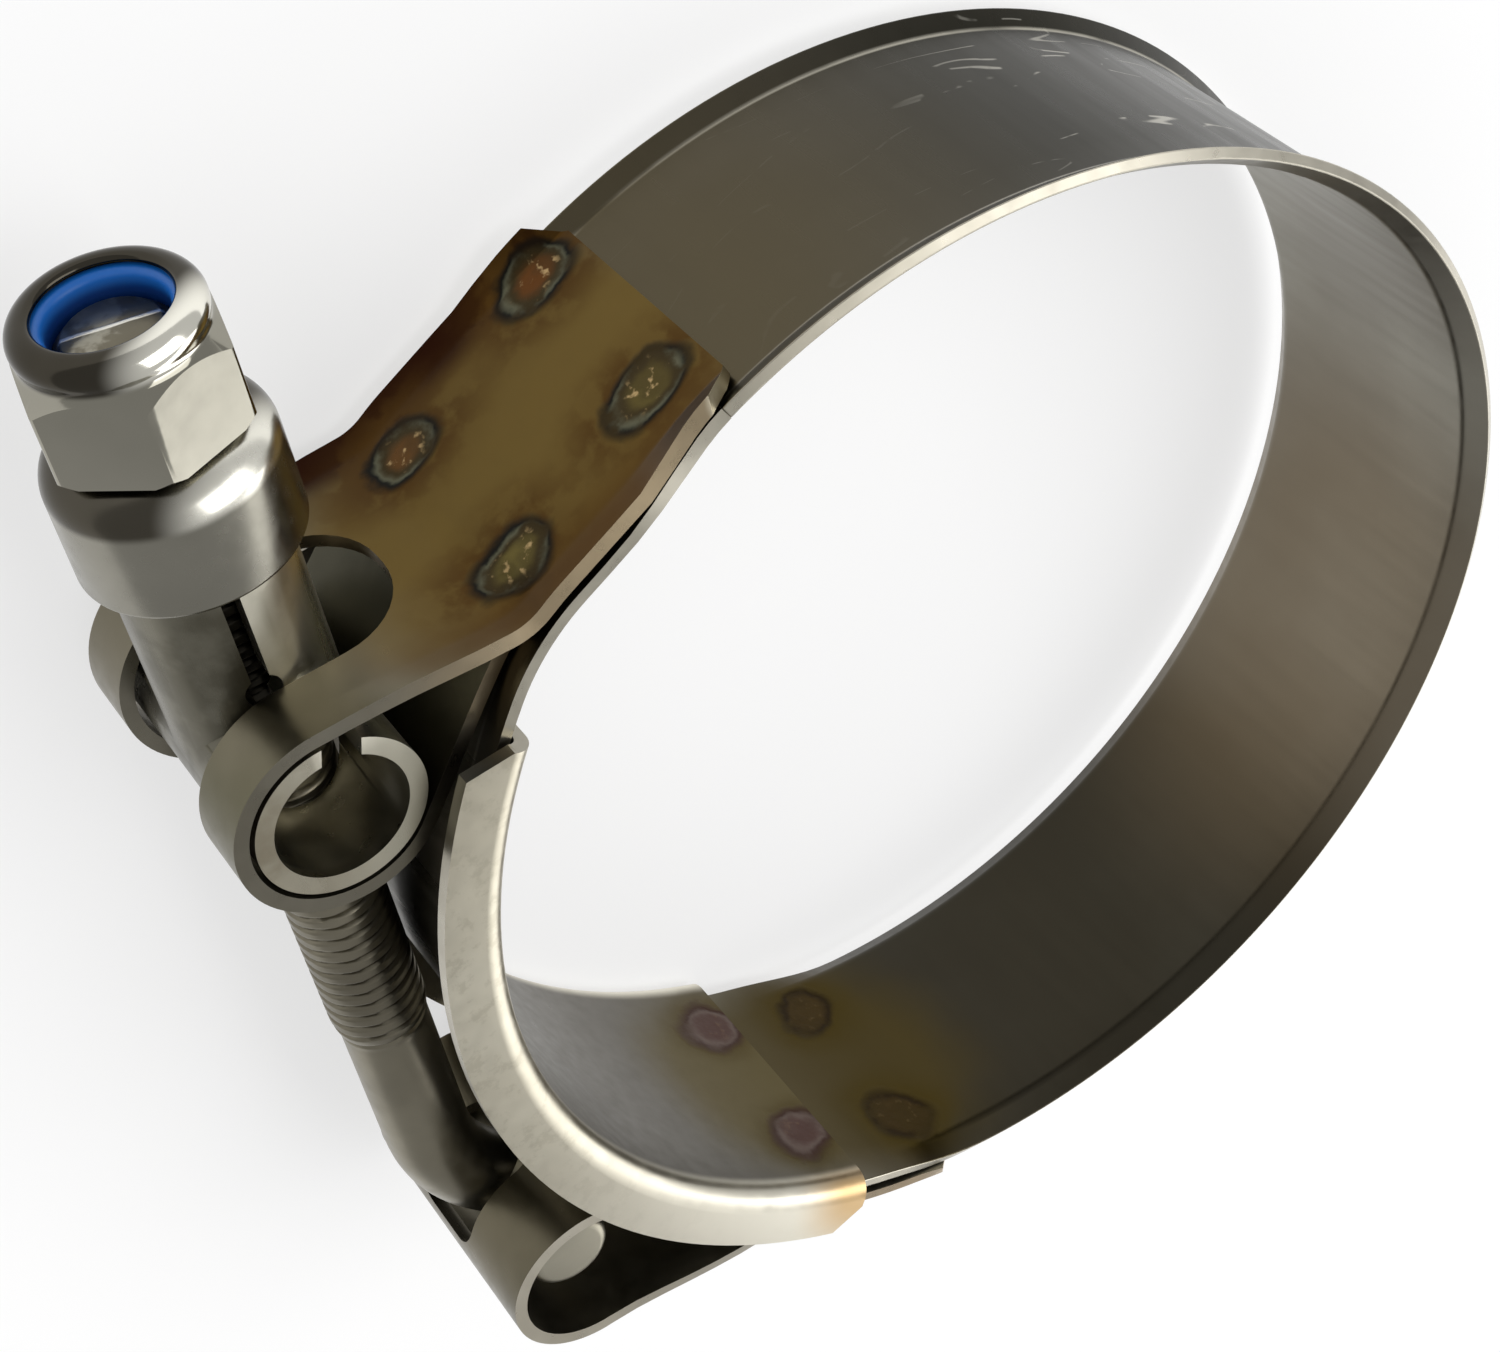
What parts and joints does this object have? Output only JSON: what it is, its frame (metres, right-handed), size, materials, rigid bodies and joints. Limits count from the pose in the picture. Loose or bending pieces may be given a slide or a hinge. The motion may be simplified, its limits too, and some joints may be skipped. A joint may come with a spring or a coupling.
{
  "type": "t bolt clamp",
  "caption": "T-bolt hose clamp: a rolled band closed over a bridge by a bent T-bolt, a trunnion, a collar cap and a lock nut.",
  "frame": {"origin": "centre of the bounding box's footprint, on the plane the clamp lies on", "axes": "+Z along the hose, +Y along the bolt towards the nut, -X from the ring towards the bolt"},
  "size_m": [0.0842, 0.0876, 0.0224],
  "materials": {
    "band_steel": "satin",
    "bridge_steel": "satin",
    "upper_strap_steel": "satin, heat tinted",
    "lower_strap_steel": "satin, heat tinted",
    "trunnion_steel": "satin",
    "bolt_steel": "satin",
    "cap_steel": "satin",
    "nut_steel": "polished",
    "blue_nylon": "matt"
  },
  "bodies": {
    "clamp": {"band": "band_steel", "bridge": "bridge_steel", "lower_strap": "lower_strap_steel"},
    "upper_end": {"upper_strap": "upper_strap_steel"},
    "cross_tube": {"trunnion": "trunnion_steel"},
    "bolt": {"t_bolt": "bolt_steel"},
    "cap": {"collar_cap": "cap_steel"},
    "nut": {"lock_nut": "nut_steel", "nylon_ring": "blue_nylon"}
  },
  "joints": [
    {"name": "band_close", "type": "hinge", "parent": "clamp", "child": "upper_end", "pos_m": [0.00438, -0.00608, 0.0112], "axis": [0, 0, 1], "range_deg": [0, 15.72], "deforming": ["band"]},
    {"name": "trunnion_turn", "type": "hinge", "parent": "upper_end", "child": "cross_tube", "pos_m": [-0.03612, 0.01592, 0.0112], "axis": [0, 0, 1], "range_deg": [-8.35, 0]},
    {"name": "bolt_swing", "type": "hinge", "parent": "clamp", "child": "bolt", "pos_m": [-0.03219, -0.02986, 0.0112], "axis": [0, 0, 1], "range_deg": [0, 7.4]},
    {"name": "cap_slide", "type": "slide", "parent": "bolt", "child": "cap", "axis": [0, -1, 0], "range_m": [0, 0.011]},
    {"name": "nut_spin", "type": "hinge", "parent": "cap", "child": "nut", "pos_m": [-0.03612, 0.03662, 0.0112], "axis": [0, -1, 0], "range_deg": [0, 3960]}
  ],
  "couplings": [
    {"joint": "nut_spin", "follows": "band_close", "ratio": 251.9},
    {"joint": "cap_slide", "follows": "band_close", "m_per_rad": 0.04009},
    {"joint": "bolt_swing", "follows": "band_close", "ratio": 0.4706},
    {"joint": "trunnion_turn", "follows": "band_close", "ratio": -0.5294}
  ]
}
